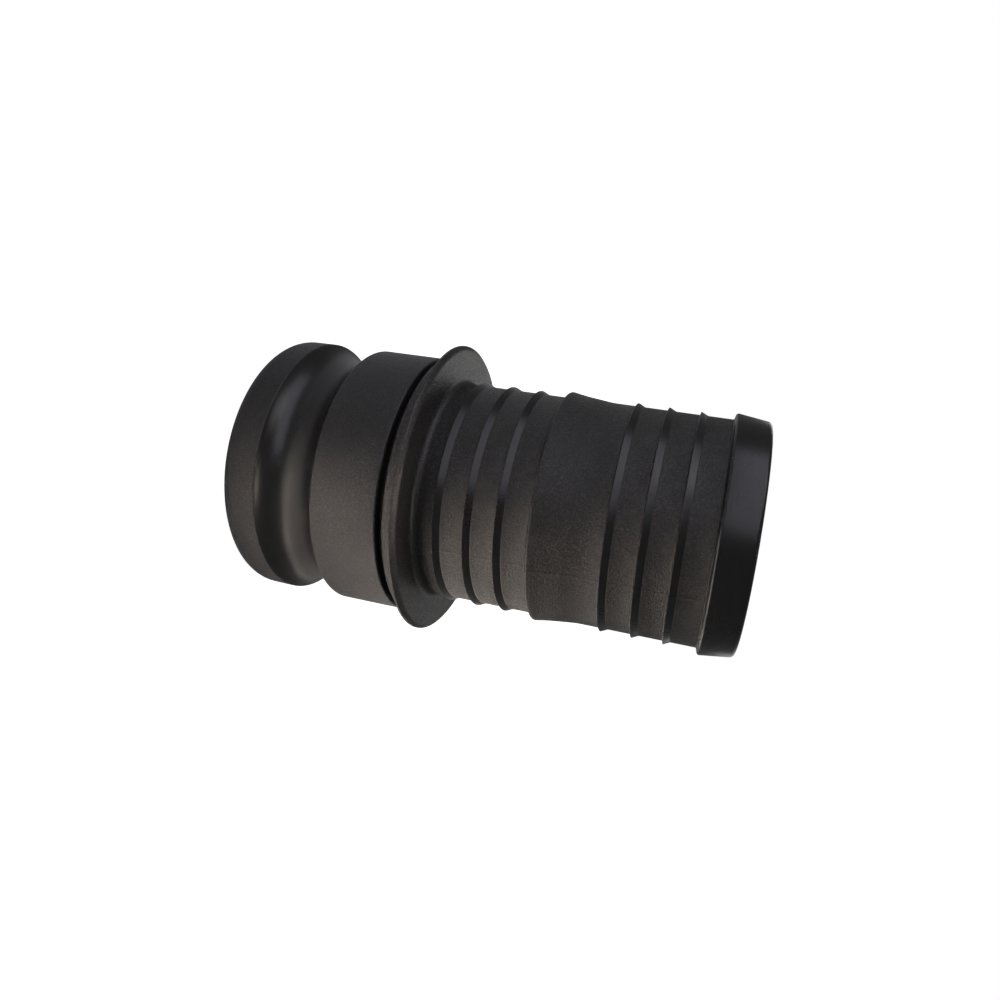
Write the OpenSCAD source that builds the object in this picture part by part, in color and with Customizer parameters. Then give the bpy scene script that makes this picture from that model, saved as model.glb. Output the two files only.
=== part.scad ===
// Cam-and-groove adapter with a barbed hose tail, 3 inch size.
// The flow axis is Z. The sealing face of the cam end lies at z = 0 and the
// hose tail points up. All sizes are in millimetres.

/* [Cam end] */
// Outside diameter of the barrel that enters the coupler
adapter_d = 91.4; // [91:0.1:91.8]
// Outside diameter of the lip
lip_d = 91; // [90:0.1:91]
// Length of the lip ahead of the cam groove
lip_len = 13.5; // [12:0.1:15]
// Radius of the rounded nose of the lip
nose_r = 5.8; // [3:0.1:7]
// Width of the cam groove at its mouth
groove_w = 20.1; // [18:0.1:22]
// Depth of the cam groove
groove_depth = 6; // [5:0.1:6.3]
// Length of the barrel behind the groove
barrel_len = 22.7; // [22:0.1:26]
// Rounding of the rear edge of the barrel
barrel_edge_r = 0.8; // [0.3:0.1:1.5]

/* [Screwed joint] */
// Radius at the roots of the tail's thread
thread_root_r = 41.4; // [41:0.1:41.6]
// Height of the thread ridges
thread_depth = 1.1; // [0.6:0.1:1.4]
// Distance between two ridges
thread_pitch = 3.2; // [2.5:0.1:3.4]
// Number of ridges
thread_ridges = 5; // [3:1:5]
// Radial clearance between the two threads
thread_gap = 0.05; // [0.03:0.01:0.1]
// Plain length of the spigot ahead of its thread
spigot_lead = 1.5; // [1:0.1:1.8]
// Length of the tail's spigot inside the cam end
spigot_len = 19; // [18.5:0.1:19.5]

/* [Seal] */
// Thickness of the flat seal ring
seal_t = 2.4; // [2:0.1:3]
// Width of the seal ring, measured on the radius
seal_w = 1.9; // [1.5:0.1:2.5]

/* [Collar] */
// Diameter of the shoulder that clamps the seal
shoulder_d = 93.2; // [90:0.2:95]
// Length of the shoulder
shoulder_len = 4.4; // [3:0.1:5]
// Chamfer on the edge of the shoulder
shoulder_chamfer = 1; // [0.3:0.1:1.5]
// Diameter of the thin hose stop
collar_d = 102.2; // [98:0.2:106]
// Thickness of the hose stop at its edge
collar_t = 0.9; // [0.6:0.1:2]
// How far the bevel on the hose stop rises from its edge
collar_rise = 1.2; // [0.5:0.1:2]
// Width of that bevel, measured on the radius
collar_bevel = 1.5; // [0.5:0.1:3]
// Fillet between the hose stop and the shank
fillet_r = 2.2; // [1:0.1:4]

/* [Hose tail] */
// Overall length of the adapter
total_len = 170.4; // [168:0.2:176]
// Diameter of the shank, the bore of the hose
shank_d = 76.2; // [75:0.2:77]
// How much the shank is thicker after the barb, on the radius
shank_rise = 0.25; // [0:0.05:0.5]
// Height of a rib above the shank
rib_h = 1.15; // [0.6:0.05:1.5]
// Length of a rib's slope towards the hose end
rib_slope = 2.35; // [2:0.05:3.5]
// Distance from the sealing face to the crest of the first rib
first_rib_z = 72.5; // [71:0.1:74]
// Spacing of the three ribs near the collar
first_rib_pitch = 10.1; // [9:0.1:10.3]
// Distance from the sealing face to the step of the tall barb
barb_z = 103.3; // [101:0.1:105]
// Diameter over the tall barb
barb_d = 80.5; // [79:0.1:82]
// Length of the cone behind the barb's step
barb_len = 15; // [10:0.5:18]
// Distance from the sealing face to the crest of the fourth rib
second_rib_z = 126.6; // [125:0.1:128]
// Spacing of the three ribs near the hose end
second_rib_pitch = 10.5; // [9.5:0.1:10.8]
// Distance from the sealing face to the step of the end rim
rim_z = 158.8; // [157:0.1:160]
// Diameter over the rim at the hose end
rim_d = 81.2; // [80:0.2:83]
// How much the rim narrows towards the end, on the radius
rim_taper = 1.5; // [0.5:0.1:1.6]
// Rounding of the rim's outer corner
rim_edge_r = 1.2; // [0.5:0.1:1.5]

/* [Bore] */
// Diameter of the bore, from end to end
bore_d = 67; // [64:0.5:68]

/* [Hidden] */

$fn = 128;
ARC_STEPS = 8;
CUT = 1;
RIBS_IN_GROUP = 3;
STEP_LEAN = 0.3;
CREST_BEVEL = 0.3;

adapter_r = adapter_d / 2;
lip_r = lip_d / 2;
bore_r = bore_d / 2;
shank_r = shank_d / 2;
collar_r = collar_d / 2;
shoulder_r = shoulder_d / 2;
barb_r = barb_d / 2;
rim_r = rim_d / 2;

// Places along the axis, from the sealing face
groove_mid_z = lip_len + groove_w / 2;
head_z = lip_len + groove_w + barrel_len;
seal_z = head_z + seal_t;
collar_z = seal_z + shoulder_len;
face_z = collar_z + collar_t;
root_z = face_z + collar_rise;
spigot_z = head_z - spigot_len;
thread_z = spigot_z + spigot_lead;
thread_end_z = thread_z + thread_ridges * thread_pitch;

// The cam groove is a round channel: its radius follows from width and depth
groove_r = (groove_w * groove_w / 4 + groove_depth * groove_depth) / (2 * groove_depth);
groove_centre_r = adapter_r - groove_depth + groove_r;

// Points of an arc about (r, z), from angle a0 to a1, 0 degrees pointing outwards
function arc(r, z, size, a0, a1) =
    [for (i = [0:ARC_STEPS]) let (a = a0 + (a1 - a0) * i / ARC_STEPS)
        [r + size * cos(a), z + size * sin(a)]];

// Zigzag of the thread, wider than the tail's own by the given gap
function thread_points(gap) =
    [for (i = [0:thread_ridges - 1]) each [
        [thread_root_r + gap, thread_z + i * thread_pitch],
        [thread_root_r + thread_depth + gap, thread_z + (i + 0.5) * thread_pitch]]];

// Three ribs on a shank of radius r: a steep step, then a slope towards the hose end
function rib_points(r, z0, pitch) =
    [for (i = [0:RIBS_IN_GROUP - 1]) let (z = z0 + i * pitch) each [
        [r, z - STEP_LEAN], [r + rib_h, z], [r, z + rib_slope]]];

module turned(points) {
    rotate_extrude() polygon(points);
}

// The outside of the cam end before its groove and bores are cut
module head_blank() {
    turned(concat(
        [[0, 0]],
        arc(lip_r - nose_r, nose_r, nose_r, -90, 0),
        [[lip_r, groove_mid_z], [adapter_r, groove_mid_z]],
        arc(adapter_r - barrel_edge_r, head_z - barrel_edge_r, barrel_edge_r, 0, 90),
        [[0, head_z]]));
}

module cam_groove() {
    rotate_extrude() translate([groove_centre_r, groove_mid_z]) circle(r = groove_r);
}

// The threaded hole in the back of the cam end
module socket_cut() {
    turned(concat(
        [[0, spigot_z], [thread_root_r + thread_gap, spigot_z]],
        thread_points(thread_gap),
        [[thread_root_r + thread_gap, thread_end_z],
         [thread_root_r + thread_gap, head_z + CUT], [0, head_z + CUT]]));
}

module flow_cut() {
    translate([0, 0, -CUT]) cylinder(r = bore_r, h = total_len + 2 * CUT);
}

module cam_head() {
    color([0.15, 0.145, 0.15]) difference() {
        head_blank();
        cam_groove();
        socket_cut();
        flow_cut();
    }
}

module neck_seal() {
    color([0.06, 0.06, 0.06]) difference() {
        translate([0, 0, head_z]) cylinder(r = thread_root_r + seal_w, h = seal_t);
        translate([0, 0, head_z - CUT]) cylinder(r = thread_root_r, h = seal_t + 2 * CUT);
    }
}

// Spigot with its thread, neck, shoulder, hose stop and the shank with its barbs and rim
module tail_blank() {
    turned(concat(
        [[0, spigot_z], [thread_root_r, spigot_z]],
        thread_points(0),
        [[thread_root_r, thread_end_z], [thread_root_r, seal_z],
         [shoulder_r - shoulder_chamfer, seal_z], [shoulder_r, seal_z + shoulder_chamfer],
         [shoulder_r, collar_z], [collar_r, collar_z], [collar_r, face_z],
         [collar_r - collar_bevel, root_z]],
        arc(shank_r + fillet_r, root_z + fillet_r, fillet_r, -90, -180),
        rib_points(shank_r, first_rib_z, first_rib_pitch),
        [[shank_r, barb_z - STEP_LEAN], [barb_r - CREST_BEVEL, barb_z],
         [barb_r, barb_z + CREST_BEVEL], [shank_r + shank_rise, barb_z + barb_len]],
        rib_points(shank_r + shank_rise, second_rib_z, second_rib_pitch),
        [[shank_r + shank_rise, rim_z - STEP_LEAN], [rim_r, rim_z]],
        arc(rim_r - rim_taper - rim_edge_r, total_len - rim_edge_r, rim_edge_r, 0, 90),
        [[0, total_len]]));
}

module hose_tail() {
    color([0.17, 0.165, 0.17]) difference() {
        tail_blank();
        flow_cut();
    }
}

cam_head();
neck_seal();
hose_tail();
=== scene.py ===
import math

import bmesh
import bpy
from mathutils import Matrix, Vector


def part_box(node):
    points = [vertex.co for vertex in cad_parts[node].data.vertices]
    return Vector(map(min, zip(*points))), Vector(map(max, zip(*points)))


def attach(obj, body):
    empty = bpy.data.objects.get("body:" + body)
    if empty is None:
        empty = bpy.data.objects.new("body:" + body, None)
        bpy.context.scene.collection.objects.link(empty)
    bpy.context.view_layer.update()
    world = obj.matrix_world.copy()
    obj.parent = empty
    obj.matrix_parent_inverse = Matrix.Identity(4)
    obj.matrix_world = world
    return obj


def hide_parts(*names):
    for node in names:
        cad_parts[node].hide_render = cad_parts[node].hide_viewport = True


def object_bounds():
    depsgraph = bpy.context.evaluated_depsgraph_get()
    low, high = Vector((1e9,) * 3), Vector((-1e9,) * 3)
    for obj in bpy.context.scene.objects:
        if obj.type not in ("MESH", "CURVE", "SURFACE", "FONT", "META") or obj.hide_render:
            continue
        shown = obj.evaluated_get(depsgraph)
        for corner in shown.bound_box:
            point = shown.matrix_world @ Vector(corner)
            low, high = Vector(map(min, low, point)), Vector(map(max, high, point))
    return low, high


bl_info = {
    "name": "Hose adapter with cam groove",
    "version": (1, 0, 0),
    "blender": (4, 5, 0),
    "location": "View3D > Sidebar > Adapter",
    "description": "Builds a moulded cam-and-groove adapter with its seal and barbed hose tail",
    "category": "Object",
}

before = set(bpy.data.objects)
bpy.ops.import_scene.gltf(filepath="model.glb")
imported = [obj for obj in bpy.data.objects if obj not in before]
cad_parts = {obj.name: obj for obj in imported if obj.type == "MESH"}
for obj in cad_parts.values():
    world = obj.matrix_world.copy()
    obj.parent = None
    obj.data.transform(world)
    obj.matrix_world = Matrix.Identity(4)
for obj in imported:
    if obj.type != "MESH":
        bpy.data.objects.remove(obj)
CAD_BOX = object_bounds()

MM = 0.001
BODY = "root"
TURN_STEPS = 256
THREAD_RIDGES = 5
RIBS_IN_GROUP = 3
MERGE = 0.002 * MM
# Bend, in radians, at which an edge counts as fully rubbed, with its pale wear and painted edge
# highlight, or a nook as fully dusty
EDGE_ANGLE = 0.3
SHARP_ANGLE = math.radians(40.0)

# The screwed joint: the tail's ridges, and the cam end's socket just outside them
THREAD_PITCH = 3.2 * MM
THREAD_DEPTH = 1.1 * MM
THREAD_LEAD = 1.5 * MM
SOCKET_RADIUS = 41.45 * MM

# Steps ahead of the ribs and ahead of the barb and the rim, the hose stop's bevel, and half
# the width of a mould line
RIB_STEP = 0.3 * MM
BARB_STEP = 0.35 * MM
COLLAR_BEVEL = 1.5 * MM
SEAM_HALF_WIDTH = 0.3 * MM

# Roughness, speck share, roughness spread and relief of the pebbled and the smooth finish
PEBBLED = (0.40, 0.9, 0.60, 1.0)
SMOOTH = (0.29, 0.15, 0.06, 0.05)
# Grain scale and relief depth of the two mouldings, and where the smooth bore ends
HEAD_GRAIN, HEAD_RELIEF = 2000.0, 0.16 * MM
TAIL_GRAIN, TAIL_RELIEF = 1600.0, 0.19 * MM
BORE_SKIN = (34.0 * MM, 35.0 * MM)
# How far a zone's edge is blurred each way, in millimetres
ZONE_BLUR = 0.3
# Pale tone for rubbed edges and scuffs; on the edges it is partly real wear and partly a
# painted edge highlight
PALE_WEAR_AND_EDGE_HIGHLIGHT = (0.055, 0.053, 0.053, 1.0)
DUST = (0.040, 0.039, 0.038, 1.0)
SMOOTH_DARK = (0.002, 0.002, 0.0025, 1.0)

# Stretches that the mould left smooth, in millimetres: the cam groove on the cam end, and
# the ribs' slopes and the rim on the tail
GROOVE_SMOOTH = ((13.7, 33.4),)
TAIL_SMOOTH = (
    (72.3, 74.9), (82.4, 85.0), (92.5, 95.1), (126.4, 129.0), (136.9, 139.5), (147.4, 150.0),
    (158.0, 175.0))

FLOOR_GLOW = 1.0
WORLD_STRENGTH = 0.13

HEAD_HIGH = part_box("cam_head")[1]
SEAL_LOW, SEAL_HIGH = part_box("neck_seal")
TAIL_LOW, TAIL_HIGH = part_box("hose_tail")


def length(name, description, metres):
    """A length that a user may change."""
    return bpy.props.FloatProperty(
        name=name, description=description, default=metres, min=0.0, precision=4,
        subtype="DISTANCE", unit="LENGTH")


def colour(name, description, rgb):
    """A colour that a user may change."""
    return bpy.props.FloatVectorProperty(
        name=name, description=description, default=rgb, size=3, min=0.0, max=1.0,
        subtype="COLOR")


def factor(name, description, value):
    """A share between none and all."""
    return bpy.props.FloatProperty(
        name=name, description=description, default=value, min=0.0, max=1.0, subtype="FACTOR")


def angle(name, description, degrees):
    """An angle that a user may change."""
    return bpy.props.FloatProperty(
        name=name, description=description, default=math.radians(degrees), subtype="ANGLE",
        unit="ROTATION")


class CamHeadSettings(bpy.types.PropertyGroup):
    barrel_radius: length("Barrel radius", "Outside of the barrel", HEAD_HIGH.x)
    head_length: length("Length", "From the sealing face to the rear edge", HEAD_HIGH.z)
    lip_radius: length("Lip radius", "Outside of the lip ahead of the groove", 45.5 * MM)
    nose_radius: length("Nose", "Rounding of the sealing end", 5.8 * MM)
    groove_start: length("Groove start", "Where the lip ends", 13.5 * MM)
    groove_width: length("Groove width", "Mouth of the cam groove", 20.1 * MM)
    groove_depth: length("Groove depth", "Depth of the cam groove", 6.0 * MM)
    edge_radius: length("Edge", "Rounding of the rear edge", 0.6 * MM)
    bore_radius: length("Bore radius", "Radius of the flow bore", 33.5 * MM)
    plastic: colour("Plastic", "Colour of the cam end", (0.0118, 0.0108, 0.0110))
    # Sets the pale rubbed edges, which are partly real wear and partly a painted edge highlight
    wear: factor("Wear", "How much the edges are rubbed", 0.5)


class SealSettings(bpy.types.PropertyGroup):
    outer_radius: length("Radius", "Outside of the seal ring", SEAL_HIGH.x)
    start: length("Start", "Front face of the seal ring", SEAL_LOW.z)
    end: length("End", "Rear face of the seal ring", SEAL_HIGH.z)
    # Near-black: the rubber's own black, deepened as painted shade for the gap between the
    # mouldings
    black_rubber_and_gap_shade: colour("Rubber", "Colour of the seal ring", (0.0035, 0.0035, 0.0038))


class HoseTailSettings(bpy.types.PropertyGroup):
    spigot_start: length("Spigot start", "Where the threaded spigot begins", TAIL_LOW.z)
    tail_end: length("End", "Where the hose end lies", TAIL_HIGH.z)
    thread_radius: length("Thread radius", "Radius at the roots of the thread", 41.4 * MM)
    shoulder_radius: length("Shoulder radius", "Outside of the shoulder", 46.6 * MM)
    shoulder_length: length("Shoulder length", "Length of the shoulder", 4.4 * MM)
    collar_radius: length("Collar radius", "Outside of the thin hose stop", TAIL_HIGH.x)
    collar_thickness: length("Collar thickness", "Thickness of the hose stop", 0.9 * MM)
    collar_slope: length("Collar slope", "Rise of the bevel on the hose stop", 1.2 * MM)
    fillet: length("Fillet", "Fillet behind the hose stop", 2.2 * MM)
    shank_radius: length("Shank radius", "Radius under the ribs", 38.1 * MM)
    late_shank_radius: length("Late shank radius", "Radius behind the barb", 38.4 * MM)
    rib_height: length("Rib height", "Height of the ribs", 1.15 * MM)
    rib_slope: length("Rib slope", "Length of a rib's slope", 2.35 * MM)
    first_rib: length("First rib", "Crest of the first rib", 72.5 * MM)
    first_pitch: length("First pitch", "Spacing of the ribs near the collar", 10.1 * MM)
    barb_start: length("Barb", "Step of the tall barb", 103.3 * MM)
    barb_radius: length("Barb radius", "Outside of the tall barb", 40.25 * MM)
    barb_length: length("Barb length", "Length of the barb's cone", 15.0 * MM)
    second_rib: length("Fourth rib", "Crest of the fourth rib", 126.6 * MM)
    second_pitch: length("Second pitch", "Spacing of the ribs near the end", 10.5 * MM)
    rim_start: length("Rim", "Step of the end rim", 158.7 * MM)
    rim_radius: length("Rim radius", "Outside of the end rim", 40.55 * MM)
    rim_end_radius: length("Rim end radius", "Radius of the rim at its end", 39.1 * MM)
    bore_radius: length("Bore radius", "Radius of the flow bore", 33.5 * MM)
    seam_height: length("Seam height", "How far the mould line stands out", 0.07 * MM)
    seam_angle: angle("Seam angle", "Where the mould line runs", -58.0)
    plastic: colour("Plastic", "Colour of the hose tail", (0.0122, 0.0108, 0.0104))
    # Sets the pale rubbed crests, which are partly real wear and partly a painted edge
    # highlight
    wear: factor("Wear", "How much the crests are rubbed", 0.55)


class StageSettings(bpy.types.PropertyGroup):
    floor_size: length("Floor", "Width of the floor", 12.0)
    floor_colour: colour("Floor", "Colour of the floor", (0.86, 0.86, 0.86))
    eye_distance: length("Distance", "From the axis to the camera", 258.2 * MM)
    eye_height: length("Height", "Height of the camera", 153.42 * MM)
    turn: angle("Turn", "Turn of the camera along the axis", 12.72)
    tilt: angle("Tilt", "Tilt of the camera across the axis", -0.865)
    roll: angle("Roll", "Roll of the camera", 9.545)
    lens: bpy.props.FloatProperty(
        name="Lens", description="Focal length of the camera", default=26.89, min=1.0,
        subtype="DISTANCE_CAMERA", unit="CAMERA")
    shift: bpy.props.FloatVectorProperty(
        name="Shift", description="Shift of the lens", default=(-0.0355, -0.0086), size=2,
        precision=4)
    cool_light: colour("Cool light", "Colour of the light from above", (0.86, 0.86, 1.0))
    warm_light: colour("Warm light", "Colour of the light from below", (1.0, 0.87, 0.75))
    plain_light: colour("Plain light", "Colour of the light from behind", (1.0, 0.98, 0.96))


SETTINGS = (CamHeadSettings, SealSettings, HoseTailSettings, StageSettings)


class HalfSection:
    """A closed half section in the XZ plane, which is turned about Z into one piece."""

    def __init__(self):
        self.bm = bmesh.new()
        self.first = self.tip = None
        self.corners = []

    def to(self, radius, height, rounding=0.0, steps=3):
        """Draws a straight line to a corner, which may be rounded."""
        vert = self.bm.verts.new((radius, 0.0, height))
        if self.tip is None:
            self.first = vert
        else:
            self.bm.edges.new((self.tip, vert))
        self.tip = vert
        if rounding:
            self.corners.append((vert, rounding, steps))

    def hollow(self, centre_radius, centre_height, sweep, steps):
        """Draws an arc from the tip towards the axis and back."""
        swept = bmesh.ops.spin(
            self.bm, geom=[self.tip], cent=(centre_radius, 0.0, centre_height),
            axis=(0.0, 1.0, 0.0), dvec=(0.0, 0.0, 0.0), angle=sweep, steps=steps,
            use_merge=False, use_duplicate=False)
        self.tip = next(v for v in swept["geom_last"] if isinstance(v, bmesh.types.BMVert))

    def round_tip(self, rounding, steps=3):
        self.corners.append((self.tip, rounding, steps))

    def close(self):
        self.bm.edges.new((self.tip, self.first))
        for vert, rounding, steps in self.corners:
            bmesh.ops.bevel(
                self.bm, geom=[vert], offset=rounding, offset_type="OFFSET", segments=steps,
                profile=0.5, affect="VERTICES", material=-1)

    def turn(self, sectors):
        """Turns the section about Z, one sector of (angle, steps) after another."""
        self.close()
        edge = self.bm.edges[:]
        whole = len(sectors) == 1
        for sweep, steps in sectors:
            swept = bmesh.ops.spin(
                self.bm, geom=edge, cent=(0.0, 0.0, 0.0), axis=(0.0, 0.0, 1.0),
                dvec=(0.0, 0.0, 0.0), angle=sweep, steps=steps, use_merge=whole,
                use_duplicate=False)
            edge = [e for e in swept["geom_last"] if isinstance(e, bmesh.types.BMEdge)]
        bmesh.ops.remove_doubles(self.bm, verts=self.bm.verts[:], dist=MERGE)
        bmesh.ops.recalc_face_normals(self.bm, faces=self.bm.faces[:])
        return self.bm


def finished_piece(name, bm, material, node):
    """Marks the convex edges, then makes the object and ties it to the frame."""
    rubbed = bm.verts.layers.float.new("edge")
    nook = bm.verts.layers.float.new("nook")
    for vert in bm.verts:
        bends = [e.calc_face_angle_signed(0.0) for e in vert.link_edges]
        vert[rubbed] = min(1.0, max(0.0, max(bends)) / EDGE_ANGLE)
        vert[nook] = min(1.0, max(0.0, -min(bends)) / EDGE_ANGLE)
    for face in bm.faces:
        face.smooth = True
    mesh = bpy.data.meshes.new(name)
    bm.to_mesh(mesh)
    bm.free()
    mesh.set_sharp_from_angle(angle=SHARP_ANGLE)
    mesh.materials.append(material)
    piece = bpy.data.objects.new(name, mesh)
    bpy.context.scene.collection.objects.link(piece)
    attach(piece, BODY)
    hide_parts(node)
    return piece


def thread_line(section, radius, start):
    """Draws the zigzag of a thread, ridge after ridge."""
    for ridge in range(THREAD_RIDGES):
        section.to(radius, start + ridge * THREAD_PITCH)
        section.to(radius + THREAD_DEPTH, start + (ridge + 0.5) * THREAD_PITCH)
    section.to(radius, start + THREAD_RIDGES * THREAD_PITCH)


def ribs(section, radius, height, slope, start, pitch):
    """Draws a group of ribs: each is a steep step, then a slope towards the hose end."""
    for rib in range(RIBS_IN_GROUP):
        crest = start + rib * pitch
        section.to(radius, crest - RIB_STEP, 0.15 * MM, 2)
        section.to(radius + height, crest, 0.22 * MM, 4)
        section.to(radius, crest + slope, 0.2 * MM, 2)


def cam_head_mesh(s):
    thread_start = TAIL_LOW.z + THREAD_LEAD
    half = s.groove_width / 2
    curve = (half * half + s.groove_depth ** 2) / (2 * s.groove_depth)
    sweep = 2 * math.asin(half / curve)
    middle = s.groove_start + half
    section = HalfSection()
    section.to(s.bore_radius, 0.0, 0.8 * MM, 3)
    section.to(s.lip_radius, 0.0, s.nose_radius, 14)
    section.to(s.barrel_radius, s.groove_start)
    section.round_tip(0.25 * MM, 4)
    section.hollow(s.barrel_radius - s.groove_depth + curve, middle, sweep, 30)
    section.round_tip(0.8 * MM, 5)
    section.to(s.barrel_radius, s.head_length, s.edge_radius, 6)
    section.to(SOCKET_RADIUS, s.head_length, 0.25 * MM, 2)
    for ridge in reversed(range(THREAD_RIDGES)):
        section.to(SOCKET_RADIUS, thread_start + (ridge + 1) * THREAD_PITCH)
        section.to(SOCKET_RADIUS + THREAD_DEPTH, thread_start + (ridge + 0.5) * THREAD_PITCH)
    section.to(SOCKET_RADIUS, thread_start)
    section.to(SOCKET_RADIUS, TAIL_LOW.z, 0.2 * MM, 2)
    section.to(s.bore_radius, TAIL_LOW.z)
    return section.turn([(math.tau, TURN_STEPS)])


def seal_mesh(s, inner_radius):
    section = HalfSection()
    section.to(inner_radius, s.start, 0.2 * MM, 2)
    section.to(s.outer_radius, s.start, 0.6 * MM, 5)
    section.to(s.outer_radius, s.end, 0.6 * MM, 5)
    section.to(inner_radius, s.end, 0.2 * MM, 2)
    return section.turn([(math.tau, TURN_STEPS)])


def hose_tail_mesh(s):
    seal_z = SEAL_HIGH.z
    collar_z = seal_z + s.shoulder_length
    face_z = collar_z + s.collar_thickness
    root_z = face_z + s.collar_slope
    shank = s.shank_radius
    section = HalfSection()
    section.to(s.bore_radius, s.spigot_start, 0.4 * MM, 2)
    section.to(s.thread_radius, s.spigot_start, 0.4 * MM, 2)
    thread_line(section, s.thread_radius, s.spigot_start + THREAD_LEAD)
    section.to(s.thread_radius, seal_z, 0.3 * MM, 2)
    section.to(s.shoulder_radius, seal_z, 1.0 * MM, 6)
    section.to(s.shoulder_radius, collar_z, 0.2 * MM, 2)
    section.to(s.collar_radius, collar_z, 0.3 * MM, 4)
    section.to(s.collar_radius, face_z, 0.3 * MM, 3)
    section.to(s.collar_radius - COLLAR_BEVEL, root_z, 0.5 * MM, 4)
    section.to(shank, root_z, s.fillet, 14)
    ribs(section, shank, s.rib_height, s.rib_slope, s.first_rib, s.first_pitch)
    section.to(shank, s.barb_start - BARB_STEP, 0.2 * MM, 2)
    section.to(s.barb_radius + 0.1 * MM, s.barb_start + 0.2 * MM, 0.7 * MM, 6)
    section.to(s.barb_radius - 0.7 * MM, s.barb_start + 4.5 * MM, 2.5 * MM, 5)
    section.to(s.late_shank_radius, s.barb_start + s.barb_length, 1.6 * MM, 4)
    ribs(section, s.late_shank_radius, s.rib_height, s.rib_slope, s.second_rib, s.second_pitch)
    section.to(s.late_shank_radius, s.rim_start - BARB_STEP, 0.25 * MM, 2)
    section.to(s.rim_radius + 0.1 * MM, s.rim_start + 0.3 * MM, 0.7 * MM, 6)
    section.to(s.rim_end_radius, s.tail_end, 1.2 * MM, 8)
    section.to(s.bore_radius, s.tail_end, 0.8 * MM, 4)
    bmesh.ops.rotate(
        section.bm, verts=section.bm.verts[:], cent=(0.0, 0.0, 0.0),
        matrix=Matrix.Rotation(s.seam_angle, 3, "Z"))
    seam = SEAM_HALF_WIDTH / shank
    half_steps = TURN_STEPS // 2
    bm = section.turn([
        (seam, 1), (math.pi - 2 * seam, half_steps), (seam, 1),
        (seam, 1), (math.pi - 2 * seam, half_steps), (seam, 1)])
    ridge_side = Vector((math.cos(s.seam_angle), math.sin(s.seam_angle)))
    for vert in bm.verts:
        across = ridge_side.cross(vert.co.xy)
        outside = vert.co.xy.length > shank - 0.5 * MM and vert.co.z > root_z + s.fillet / 2
        if abs(across) < seam * shank / 3 and outside:
            vert.co.xy += vert.co.xy.normalized() * s.seam_height
    return bm


class NodeBench:
    """Adds nodes to one tree in short lines."""

    def __init__(self, tree):
        self.tree = tree
        self.place = 0

    def add(self, kind, inputs=None, **settings):
        made = self.tree.nodes.new(kind)
        made.location = (self.place * 190.0, (self.place % 4) * -160.0)
        self.place += 1
        for name, value in settings.items():
            setattr(made, name, value)
        for key, value in (inputs or {}).items():
            if isinstance(value, bpy.types.NodeSocket):
                self.tree.links.new(value, made.inputs[key])
            else:
                made.inputs[key].default_value = value
        return made

    def sum(self, operation, first, second=0.0, third=0.0):
        return self.add(
            "ShaderNodeMath", {0: first, 1: second, 2: third}, operation=operation).outputs[0]

    def step(self, value, low, high, to_low=0.0, to_high=1.0):
        """A smooth ramp of a value between two limits."""
        return self.add(
            "ShaderNodeMapRange",
            {"Value": value, "From Min": low, "From Max": high, "To Min": to_low,
             "To Max": to_high},
            interpolation_type="SMOOTHSTEP").outputs["Result"]

    def noise(self, vector, scale, detail=2.0, roughness=0.5):
        return self.add(
            "ShaderNodeTexNoise",
            {"Vector": vector, "Scale": scale, "Detail": detail, "Roughness": roughness}
        ).outputs["Fac"]

    def mixed(self, share, first, second):
        return self.add(
            "ShaderNodeMix", {"Factor": share, 6: first, 7: second}, data_type="RGBA"
        ).outputs[2]


def new_group(name, inputs, outputs):
    """A shader node group with named sockets, and a bench to fill it on."""
    tree = bpy.data.node_groups.new(name, "ShaderNodeTree")
    for label, kind, default in inputs:
        socket = tree.interface.new_socket(label, in_out="INPUT", socket_type=kind)
        if default is not None:
            socket.default_value = default
    for label, kind in outputs:
        tree.interface.new_socket(label, in_out="OUTPUT", socket_type=kind)
    bench = NodeBench(tree)
    return bench, bench.add("NodeGroupInput").outputs, bench.add("NodeGroupOutput").inputs


FLOAT, VECTOR, COLOUR = "NodeSocketFloat", "NodeSocketVector", "NodeSocketColor"


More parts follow.
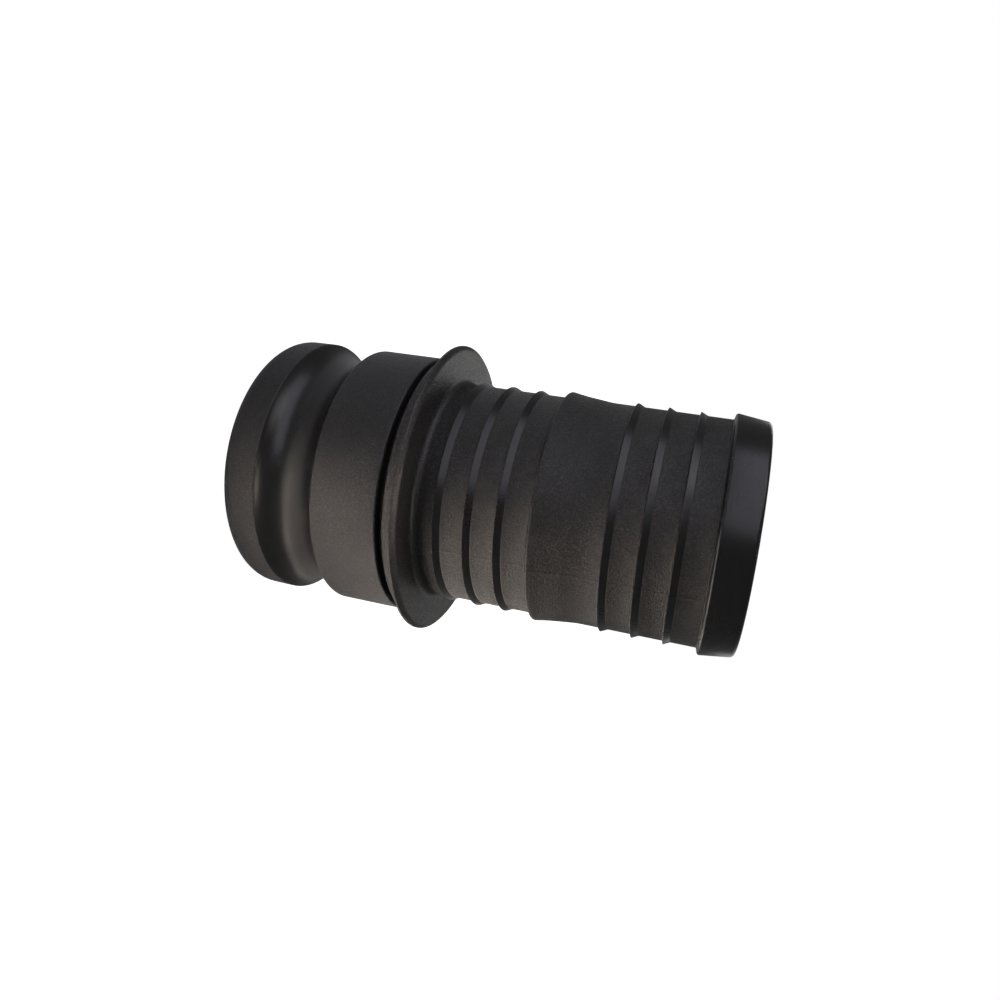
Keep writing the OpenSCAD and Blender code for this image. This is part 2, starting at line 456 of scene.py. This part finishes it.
def moulded_skin_group():
    """Moulded glass-filled plastic: pebbled grain, pale specks and slow clouds."""
    bench, given, out = new_group(
        "moulded_skin",
        [("Vector", VECTOR, None), ("Base", COLOUR, (0.02, 0.02, 0.02, 1.0)),
         ("Pale", COLOUR, (0.06, 0.055, 0.05, 1.0)), ("Grain Scale", FLOAT, 1500.0),
         ("Speck Share", FLOAT, 0.4), ("Cloud Scale", FLOAT, 28.0),
         ("Roughness", FLOAT, 0.5), ("Roughness Spread", FLOAT, 0.2)],
        [("Color", COLOUR), ("Roughness", FLOAT), ("Height", FLOAT)])
    fine = bench.noise(given["Vector"], given["Grain Scale"], 3.0, 0.6)
    pebbles = bench.add(
        "ShaderNodeTexVoronoi",
        {"Vector": given["Vector"], "Scale": bench.sum("MULTIPLY", given["Grain Scale"], 0.9)},
        feature="SMOOTH_F1").outputs["Distance"]
    cloud = bench.noise(given["Vector"], given["Cloud Scale"], 4.0, 0.55)
    speck_place = bench.noise(given["Vector"], bench.sum("MULTIPLY", given["Grain Scale"], 1.3))
    specks = bench.step(speck_place, 0.48, 0.64)
    patch = bench.step(cloud, 0.38, 0.66)
    share = bench.sum("MULTIPLY", specks, given["Speck Share"])
    share = bench.sum("MULTIPLY", share, bench.sum("MULTIPLY_ADD", patch, 0.45, 0.55))
    tone = bench.mixed(share, given["Base"], given["Pale"])
    shade = bench.add(
        "ShaderNodeHueSaturation",
        {"Color": tone, "Value": bench.step(cloud, 0.25, 0.75, 0.82, 1.2)}).outputs["Color"]
    swing = bench.sum("SUBTRACT", fine, 0.5)
    rough = bench.sum(
        "MULTIPLY_ADD", swing, given["Roughness Spread"], given["Roughness"])
    rough = bench.sum("MULTIPLY_ADD", bench.sum("SUBTRACT", cloud, 0.5), 0.12, rough)
    height = bench.sum("MULTIPLY_ADD", pebbles, -0.3, fine)
    bench.tree.links.new(shade, out["Color"])
    bench.tree.links.new(rough, out["Roughness"])
    bench.tree.links.new(height, out["Height"])
    return bench.tree


def wear_dust_and_edge_highlight_group():
    """Where crests and corners are rubbed pale and smooth, which is partly real wear and partly
    a painted edge highlight, and where dust stays in nooks.
    """
    bench, given, out = new_group(
        "edge_wear",
        [("Vector", VECTOR, None), ("Amount", FLOAT, 0.5), ("Break Scale", FLOAT, 260.0)],
        [("Rubbed", FLOAT), ("Dust", FLOAT)])
    edge = bench.add("ShaderNodeAttribute", attribute_name="edge").outputs["Fac"]
    nook = bench.add("ShaderNodeAttribute", attribute_name="nook").outputs["Fac"]
    broken = bench.noise(given["Vector"], given["Break Scale"], 3.0, 0.6)
    rubbed = bench.sum("MULTIPLY", bench.step(edge, 0.55, 1.0), bench.step(broken, 0.36, 0.7))
    dust = bench.sum("MULTIPLY", bench.step(nook, 0.4, 1.0), bench.step(broken, 0.42, 0.7))
    bench.tree.links.new(bench.sum("MULTIPLY", rubbed, given["Amount"]), out["Rubbed"])
    bench.tree.links.new(bench.sum("MULTIPLY", dust, given["Amount"]), out["Dust"])
    return bench.tree


def scuffs_group():
    """Fine short handling marks that run round the part."""
    bench, given, out = new_group(
        "scuffs",
        [("Vector", VECTOR, None), ("Density", FLOAT, 0.3)],
        [("Mask", FLOAT), ("Height", FLOAT)])
    parts = bench.add("ShaderNodeSeparateXYZ", {"Vector": given["Vector"]}).outputs
    around = bench.sum("ARCTAN2", parts["Y"], parts["X"])
    strip = bench.add(
        "ShaderNodeCombineXYZ",
        {"X": bench.sum("COSINE", around), "Y": bench.sum("SINE", around),
         "Z": bench.sum("MULTIPLY", parts["Z"], 900.0)}).outputs["Vector"]
    lines = bench.noise(strip, 4.5, 3.0, 0.65)
    where = bench.noise(given["Vector"], 70.0, 2.0, 0.5)
    mask = bench.sum("MULTIPLY", bench.step(lines, 0.62, 0.72), bench.step(where, 0.45, 0.7))
    mask = bench.sum("MULTIPLY", mask, given["Density"])
    bench.tree.links.new(mask, out["Mask"])
    bench.tree.links.new(bench.sum("MULTIPLY", mask, -1.0), out["Height"])
    return bench.tree


def group_for(name, build):
    """The node group of that name, built once."""
    return bpy.data.node_groups.get(name) or build()


def new_material(name):
    material = bpy.data.materials.new(name)
    material.use_nodes = True
    material.node_tree.nodes.clear()
    bench = NodeBench(material.node_tree)
    place = bench.add("ShaderNodeTexCoord").outputs["Object"]
    return material, bench, place


def finish_material(bench, base, rough, height, bump_distance, specular=0.5):
    bump = bench.add(
        "ShaderNodeBump", {"Height": height, "Distance": bump_distance, "Strength": 1.0})
    shader = bench.add(
        "ShaderNodeBsdfPrincipled",
        {"Base Color": base, "Roughness": rough, "Normal": bump.outputs["Normal"],
         "Specular IOR Level": specular, "IOR": 1.5})
    bench.add("ShaderNodeOutputMaterial", {"Surface": shader.outputs["BSDF"]})


def plastic_material(name, base, wear, grain, bump, zones, depth_of_tone):
    """Black moulded plastic: pebbled, but smooth in the bore and in the given zones.

    depth_of_tone is how much darker the smooth zones are."""
    material, bench, place = new_material(name)
    height_z = bench.add("ShaderNodeSeparateXYZ", {"Vector": place}).outputs["Z"]
    skin = bench.add(
        "ShaderNodeGroup", node_tree=group_for("moulded_skin", moulded_skin_group))
    links = bench.tree.links
    links.new(place, skin.inputs["Vector"])
    skin.inputs["Base"].default_value = (*base, 1.0)
    skin.inputs["Pale"].default_value = (*(3.8 * c for c in base), 1.0)
    skin.inputs["Grain Scale"].default_value = grain
    flat = bench.add(
        "ShaderNodeVectorMath", {0: place, 1: (1.0, 1.0, 0.0)}, operation="MULTIPLY")
    radius = bench.add(
        "ShaderNodeVectorMath", {0: flat.outputs["Vector"]}, operation="LENGTH")
    # The bore is smooth along its whole length, whatever the outside is like
    smooth = bench.step(radius.outputs["Value"], *BORE_SKIN, 1.0, 0.0)
    outside = bench.sum("SUBTRACT", 1.0, smooth)
    for low, high in zones:
        inside = bench.sum(
            "MULTIPLY",
            bench.step(height_z, (low - ZONE_BLUR) * MM, (low + ZONE_BLUR) * MM),
            bench.step(height_z, (high - ZONE_BLUR) * MM, (high + ZONE_BLUR) * MM, 1.0, 0.0))
        smooth = bench.sum(
            "MAXIMUM", smooth, bench.sum("MULTIPLY", inside, outside))
    roughness, specks, spread, depth = zip(PEBBLED, SMOOTH)
    links.new(bench.step(smooth, 0.0, 1.0, *specks), skin.inputs["Speck Share"])
    links.new(bench.step(smooth, 0.0, 1.0, *roughness), skin.inputs["Roughness"])
    links.new(bench.step(smooth, 0.0, 1.0, *spread), skin.inputs["Roughness Spread"])
    rub_and_highlight = bench.add("ShaderNodeGroup", node_tree=group_for("edge_wear", wear_dust_and_edge_highlight_group))
    links.new(place, rub_and_highlight.inputs["Vector"])
    rub_and_highlight.inputs["Amount"].default_value = wear
    marks = bench.add("ShaderNodeGroup", node_tree=group_for("scuffs", scuffs_group))
    links.new(place, marks.inputs["Vector"])
    marks.inputs["Density"].default_value = 0.35
    smooth_tone = bench.mixed(
        depth_of_tone, skin.outputs["Color"], SMOOTH_DARK)
    tone = bench.mixed(smooth, skin.outputs["Color"], smooth_tone)
    # Rubbed crests and corners turn pale: partly real wear, partly a painted edge highlight
    tone = bench.mixed(rub_and_highlight.outputs["Rubbed"], tone, PALE_WEAR_AND_EDGE_HIGHLIGHT)
    tone = bench.mixed(marks.outputs["Mask"], tone, PALE_WEAR_AND_EDGE_HIGHLIGHT)
    tone = bench.mixed(rub_and_highlight.outputs["Dust"], tone, DUST)
    rough = bench.sum(
        "MULTIPLY_ADD", rub_and_highlight.outputs["Rubbed"], -0.06, skin.outputs["Roughness"])
    rough = bench.sum("MULTIPLY_ADD", rub_and_highlight.outputs["Dust"], 0.3, rough)
    relief = bench.sum(
        "MULTIPLY", skin.outputs["Height"], bench.step(smooth, 0.0, 1.0, *depth))
    relief = bench.sum("MULTIPLY_ADD", marks.outputs["Height"], 0.3, relief)
    finish_material(bench, tone, rough, relief, bump)
    return material


def rubber_material(name, base):
    material, bench, place = new_material(name)
    skin = bench.add(
        "ShaderNodeGroup", node_tree=group_for("moulded_skin", moulded_skin_group))
    bench.tree.links.new(place, skin.inputs["Vector"])
    skin.inputs["Base"].default_value = (*base, 1.0)
    skin.inputs["Pale"].default_value = (*(2.0 * c for c in base), 1.0)
    skin.inputs["Grain Scale"].default_value = 2200.0
    skin.inputs["Roughness"].default_value = 0.62
    skin.inputs["Roughness Spread"].default_value = 0.12
    finish_material(
        bench, skin.outputs["Color"], skin.outputs["Roughness"], skin.outputs["Height"],
        0.03 * MM, specular=0.2)
    return material


def floor_material(base):
    """Pale matte paper that glows white for the camera and lights the part as plain paper."""
    material = bpy.data.materials.new("floor_paper")
    material.use_nodes = True
    material.node_tree.nodes.clear()
    bench = NodeBench(material.node_tree)
    matte = bench.add("ShaderNodeBsdfDiffuse", {"Color": (*base, 1.0)}).outputs[0]
    lit = bench.add("ShaderNodeEmission", {"Strength": FLOOR_GLOW}).outputs[0]
    seen = bench.add("ShaderNodeLightPath").outputs["Is Camera Ray"]
    dark = bench.add("ShaderNodeEmission", {"Strength": 0.0}).outputs[0]
    glow = bench.add("ShaderNodeMixShader", {0: seen, 1: dark, 2: lit}).outputs[0]
    both = bench.add("ShaderNodeAddShader", {0: matte, 1: glow}).outputs[0]
    bench.add("ShaderNodeOutputMaterial", {"Surface": both})
    return material


def world_light():
    """White surroundings: pure white to the camera, much dimmer as light."""
    world = bpy.data.worlds.new("soft_surroundings")
    bpy.context.scene.world = world
    world.use_nodes = True
    world.node_tree.nodes.clear()
    bench = NodeBench(world.node_tree)
    seen = bench.add("ShaderNodeLightPath").outputs["Is Camera Ray"]
    white = bench.add("ShaderNodeBackground", {"Strength": 1.0}).outputs[0]
    white.node.inputs["Color"].default_value = (1.0, 1.0, 1.0, 1.0)
    soft = bench.add("ShaderNodeBackground", {"Strength": WORLD_STRENGTH}).outputs[0]
    soft.node.inputs["Color"].default_value = (0.97, 0.99, 1.0, 1.0)
    both = bench.add("ShaderNodeMixShader", {0: seen, 1: soft, 2: white}).outputs[0]
    bench.add("ShaderNodeOutputWorld", {"Surface": both})


# Softboxes round the middle of the part: name, turn about the axis and rise in degrees,
# distance, width, height, power and colour setting
SOFTBOXES = (
    ("key_softbox", 46.0, 27.0, 0.9, 1.4, 0.5, 2.9, "cool_light"),
    ("high_softbox", 60.0, 50.0, 0.9, 0.4, 0.4, 0.7, "plain_light"),
    ("back_softbox", 166.0, 20.0, 0.9, 0.55, 0.25, 0.75, "plain_light"),
    ("rear_softbox", -156.0, 18.0, 0.9, 0.4, 0.25, 0.25, "plain_light"),
)
# Narrow softboxes that face the floor and light the part from there: name, turn, distance,
# height, width, spread in degrees, power and colour setting
FLOOR_BOXES = (
    ("far_low_softbox", -110.0, 0.36, 0.45, 0.3, 42.0, 0.7, "warm_light"),
    ("low_side_softbox", -50.0, 0.26, 0.45, 0.2, 42.0, 0.40, "warm_light"),
    ("low_near_softbox", -69.0, 0.22, 0.45, 0.1, 16.0, 0.2, "warm_light"),
    ("low_front_softbox", -24.0, 0.13, 0.45, 0.1, 16.0, 0.09, "warm_light"),
)


def round_the_part(turn, rise, distance):
    """A point at a turn about the axis from the front, a rise and a distance."""
    turn, rise = math.radians(turn), math.radians(rise)
    return distance * Vector(
        (-math.sin(turn) * math.cos(rise), -math.cos(turn) * math.cos(rise), math.sin(rise)))


def add_softbox(name, place, aim, width, height, power, tint):
    lamp = bpy.data.lights.new(name, "AREA")
    lamp.shape = "RECTANGLE"
    lamp.size, lamp.size_y = width, height
    lamp.energy = power
    lamp.color = tint
    holder = bpy.data.objects.new(name, lamp)
    holder.location = place
    holder.rotation_euler = (place - aim).to_track_quat("Z", "Y").to_euler()
    bpy.context.scene.collection.objects.link(holder)
    return lamp


def add_softboxes(s):
    middle = (CAD_BOX[0] + CAD_BOX[1]) / 2
    for name, turn, rise, distance, width, height, power, tint in SOFTBOXES:
        place = middle + round_the_part(turn, rise, distance)
        add_softbox(name, place, middle, width, height, power, getattr(s, tint))
    for name, turn, distance, rise, width, spread, power, tint in FLOOR_BOXES:
        foot = round_the_part(turn, 0.0, distance)
        lamp = add_softbox(
            name, foot + Vector((0.0, 0.0, rise)), foot, width, width, power,
            getattr(s, tint))
        lamp.spread = math.radians(spread)


class ADAPTER_OT_cam_head(bpy.types.Operator):
    """Turns the cam end with its lip, groove and threaded socket"""

    bl_idname = "adapter.cam_head"
    bl_label = "Cam end"

    def execute(self, context):
        s = context.scene.adapter_cam_head
        material = plastic_material(
            "cam_head_plastic", s.plastic, s.wear, HEAD_GRAIN, HEAD_RELIEF, GROOVE_SMOOTH, 0.0)
        finished_piece("cam_end", cam_head_mesh(s), material, "cam_head")
        return {"FINISHED"}


class ADAPTER_OT_neck_seal(bpy.types.Operator):
    """Turns the flat seal ring between the two mouldings"""

    bl_idname = "adapter.neck_seal"
    bl_label = "Seal ring"

    def execute(self, context):
        s = context.scene.adapter_seal
        inner_radius = context.scene.adapter_hose_tail.thread_radius
        # The seal's near-black colour is partly real black rubber and partly painted shade of
        # the gap
        finished_piece(
            "seal_ring", seal_mesh(s, inner_radius), rubber_material("seal_rubber", s.black_rubber_and_gap_shade),
            "neck_seal")
        return {"FINISHED"}


class ADAPTER_OT_hose_tail(bpy.types.Operator):
    """Turns the hose tail with its collar, ribs, barb, rim and mould lines"""

    bl_idname = "adapter.hose_tail"
    bl_label = "Hose tail"

    def execute(self, context):
        s = context.scene.adapter_hose_tail
        material = plastic_material(
            "hose_tail_plastic", s.plastic, s.wear, TAIL_GRAIN, TAIL_RELIEF, TAIL_SMOOTH, 0.5)
        finished_piece("barbed_tail", hose_tail_mesh(s), material, "hose_tail")
        return {"FINISHED"}


class ADAPTER_OT_stage(bpy.types.Operator):
    """Sets up the floor, the lights and the camera"""

    bl_idname = "adapter.stage"
    bl_label = "Stage"

    def execute(self, context):
        s = context.scene.adapter_stage
        bm = bmesh.new()
        bmesh.ops.create_grid(bm, x_segments=1, y_segments=1, size=s.floor_size / 2)
        mesh = bpy.data.meshes.new("floor")
        bm.to_mesh(mesh)
        bm.free()
        mesh.materials.append(floor_material(s.floor_colour))
        floor = bpy.data.objects.new("floor", mesh)
        context.scene.collection.objects.link(floor)
        world_light()
        add_softboxes(s)
        lens = bpy.data.cameras.new("main_camera")
        lens.sensor_width = 36.0
        lens.lens = s.lens
        lens.shift_x, lens.shift_y = s.shift
        lens.clip_start = 0.01
        camera = bpy.data.objects.new("main_camera", lens)
        upright = Matrix(((0.0, -1.0, 0.0), (0.0, 0.0, -1.0), (1.0, 0.0, 0.0)))
        aim = (upright @ Matrix.Rotation(-s.tilt, 3, "X") @ Matrix.Rotation(s.turn, 3, "Y")
               @ Matrix.Rotation(s.roll, 3, "Z"))
        camera.matrix_world = (
            Matrix.Translation((0.0, -s.eye_distance, s.eye_height)) @ aim.to_4x4())
        context.scene.collection.objects.link(camera)
        context.scene.camera = camera
        context.scene.view_settings.view_transform = "Standard"
        return {"FINISHED"}


class ADAPTER_PT_sidebar(bpy.types.Panel):
    """Lists the adapter's pieces and their settings"""

    bl_idname = "ADAPTER_PT_sidebar"
    bl_label = "Hose adapter"
    bl_space_type = "VIEW_3D"
    bl_region_type = "UI"
    bl_category = "Adapter"

    def draw(self, context):
        for operator, settings in zip(OPERATORS, SETTING_NAMES):
            box = self.layout.box()
            box.operator(operator.bl_idname)
            group = getattr(context.scene, settings)
            for name in group.__annotations__:
                box.prop(group, name)


OPERATORS = (
    ADAPTER_OT_cam_head, ADAPTER_OT_neck_seal, ADAPTER_OT_hose_tail, ADAPTER_OT_stage)
SETTING_NAMES = ("adapter_cam_head", "adapter_seal", "adapter_hose_tail", "adapter_stage")


def register():
    for made in (*SETTINGS, *OPERATORS, ADAPTER_PT_sidebar):
        bpy.utils.register_class(made)
    for name, settings in zip(SETTING_NAMES, SETTINGS):
        setattr(bpy.types.Scene, name, bpy.props.PointerProperty(type=settings))


def unregister():
    for name in SETTING_NAMES:
        delattr(bpy.types.Scene, name)
    for made in (ADAPTER_PT_sidebar, *reversed(OPERATORS), *reversed(SETTINGS)):
        bpy.utils.unregister_class(made)


def main():
    register()
    bpy.ops.adapter.cam_head()
    bpy.ops.adapter.neck_seal()
    bpy.ops.adapter.hose_tail()
    bpy.ops.adapter.stage()


if __name__ == "__main__":
    main()
